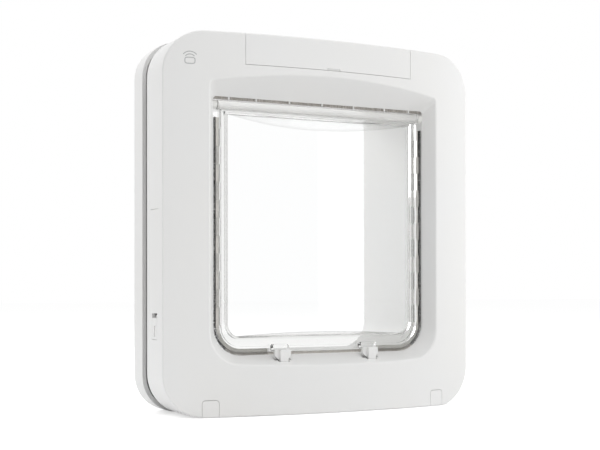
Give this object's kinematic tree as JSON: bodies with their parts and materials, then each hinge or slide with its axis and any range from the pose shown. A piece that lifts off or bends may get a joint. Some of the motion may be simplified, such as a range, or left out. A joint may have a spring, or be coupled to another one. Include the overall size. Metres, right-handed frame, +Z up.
{
  "type": "pet door",
  "caption": "White microchip pet door: bowed inside unit, clear bulged flap edged with brushes, sill catches, battery cover, and an outside frame with tunnel.",
  "frame": {"origin": "middle of both frames, in the plane of the door's inside face", "axes": "X to the right seen from the room, Y through the door towards outdoors, Z up"},
  "size_m": [0.262, 0.1205, 0.282],
  "materials": {
    "white_gloss": "moulded white plastic, softly glossy",
    "clear_plastic": "clear moulded plastic",
    "black_pile": "short black brush pile",
    "white_nylon": "matt white plastic",
    "steel": "plated steel",
    "solenoid_case": "dark painted steel",
    "cell_sleeve": "plain dark sleeve",
    "board_green": "green lacquered board",
    "copper": "varnished copper winding",
    "black_plastic": "black plastic"
  },
  "bodies": {
    "housing": {"antenna_coil": "copper", "back_cover": "white_gloss", "battery_cells": "cell_sleeve", "battery_tray": "white_nylon", "board_screws": "steel", "brush_carrier": "white_gloss", "case_screws": "steel", "circuit_board": "board_green", "contact_plates": "steel", "contact_springs": "steel", "fixing_screws": "steel", "front_housing": "white_gloss", "hinge_brush": "black_pile", "hinge_bush_left": "white_nylon", "hinge_bush_right": "white_nylon", "latch_solenoid": "solenoid_case", "memory_switch": "black_plastic", "outer_frame": "white_gloss", "screw_cover_left": "white_gloss", "screw_cover_right": "white_gloss"},
    "flap": {"flap": "clear_plastic", "flap_brush_left": "black_pile", "flap_brush_right": "black_pile", "flap_brush_foot": "black_pile"},
    "latch": {"catch_left": "white_gloss", "catch_right": "white_gloss", "latch_bar": "white_nylon", "latch_plunger": "steel"},
    "lock": {"lock_slider": "white_gloss"},
    "cover": {"battery_cover": "white_gloss"},
    "button": {"memory_button": "white_nylon"}
  },
  "joints": [
    {"name": "flap_hinge", "type": "hinge", "parent": "housing", "child": "flap", "pos_m": [0, -0.028, 0.0895], "axis": [1, 0, 0], "range_deg": [0, 75]},
    {"name": "latch_slide", "type": "slide", "parent": "housing", "child": "latch", "axis": [0, 0, 1], "range_m": [-0.0095, 0], "stiffness_N_per_m": 40, "springref_m": 0.006},
    {"name": "lock_slide", "type": "slide", "parent": "housing", "child": "lock", "axis": [0, 0, 1], "range_m": [0, 0.003]},
    {"name": "cover_slide", "type": "slide", "parent": "housing", "child": "cover", "axis": [0, 0, 1], "range_m": [0, 0.03]},
    {"name": "button_press", "type": "slide", "parent": "housing", "child": "button", "axis": [0, 1, 0], "range_m": [0, 0.001], "stiffness_N_per_m": 400}
  ]
}
